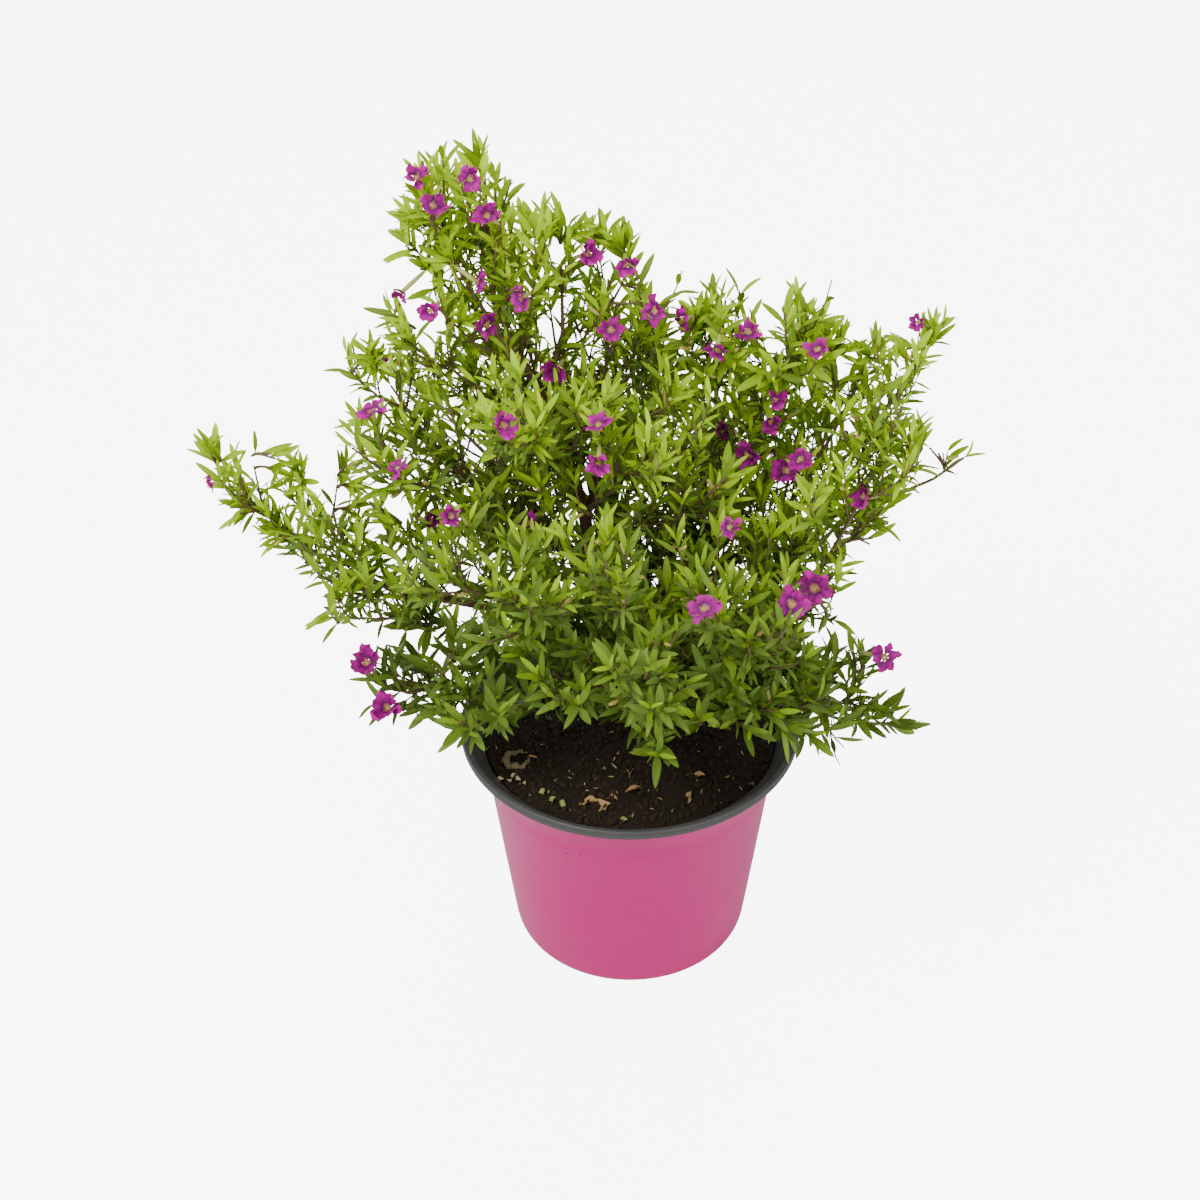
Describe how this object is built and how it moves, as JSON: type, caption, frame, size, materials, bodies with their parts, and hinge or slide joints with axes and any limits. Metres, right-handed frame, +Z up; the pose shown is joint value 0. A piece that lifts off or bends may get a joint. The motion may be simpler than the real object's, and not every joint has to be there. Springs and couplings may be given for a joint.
{
  "type": "potted cuphea shrub",
  "caption": "Small flowering shrub with a tall leafy spire, spreading boughs and magenta blossom, standing in a round tapering plastic pot filled with soil.",
  "frame": {"origin": "middle of the pot's flat underside, on the surface it stands on", "axes": "+Z up along the pot's axis, +X to the viewer's right, +Y away from the viewer"},
  "size_m": [0.3133, 0.2398, 0.3636],
  "materials": {
    "pot_plastic": "satin magenta pink",
    "rim_plastic": "satin charcoal",
    "soil": "dull dark potting soil",
    "bark": "dull red-brown bark",
    "foliage": "satin green leaves"
  },
  "bodies": {
    "root": {"bough_back": "bark", "bough_back_left": "bark", "bough_back_right": "bark", "bough_centre": "bark", "bough_front": "bark", "bough_front_right": "bark", "bough_left": "bark", "bough_left_front": "bark", "bough_left_low": "bark", "bough_low_left": "bark", "bough_right": "bark", "bough_right_low": "bark", "bough_right_mid": "bark", "bough_right_top": "bark", "foliage_back": "foliage", "foliage_back_left": "foliage", "foliage_back_left_low": "foliage", "foliage_back_low": "foliage", "foliage_back_right": "foliage", "foliage_back_right_low": "foliage", "foliage_back_up": "foliage", "foliage_centre_front": "foliage", "foliage_centre_right": "foliage", "foliage_centre_top": "foliage", "foliage_front": "foliage", "foliage_front_drop": "foliage", "foliage_front_high": "foliage", "foliage_front_left": "foliage", "foliage_front_low": "foliage", "foliage_front_middle": "foliage", "foliage_front_right": "foliage", "foliage_front_right_low": "foliage", "foliage_left_far": "foliage", "foliage_left_front": "foliage", "foliage_left_mid": "foliage", "foliage_left_shoulder": "foliage", "foliage_left_under": "foliage", "foliage_left_up": "foliage", "foliage_low_left": "foliage", "foliage_middle": "foliage", "foliage_right_far": "foliage", "foliage_right_high": "foliage", "foliage_right_low": "foliage", "foliage_right_outer": "foliage", "foliage_right_peak": "foliage", "foliage_right_side": "foliage", "foliage_right_twig": "foliage", "foliage_rim_left": "foliage", "foliage_rim_right": "foliage", "foliage_spire_back": "foliage", "foliage_spire_left": "foliage", "foliage_spire_right": "foliage", "foliage_spire_tip": "foliage", "foliage_upper_front": "foliage", "foliage_upper_left": "foliage", "pot": "pot_plastic", "pot_rim": "rim_plastic", "soil": "soil", "trunk": "bark"}
  },
  "joints": []
}
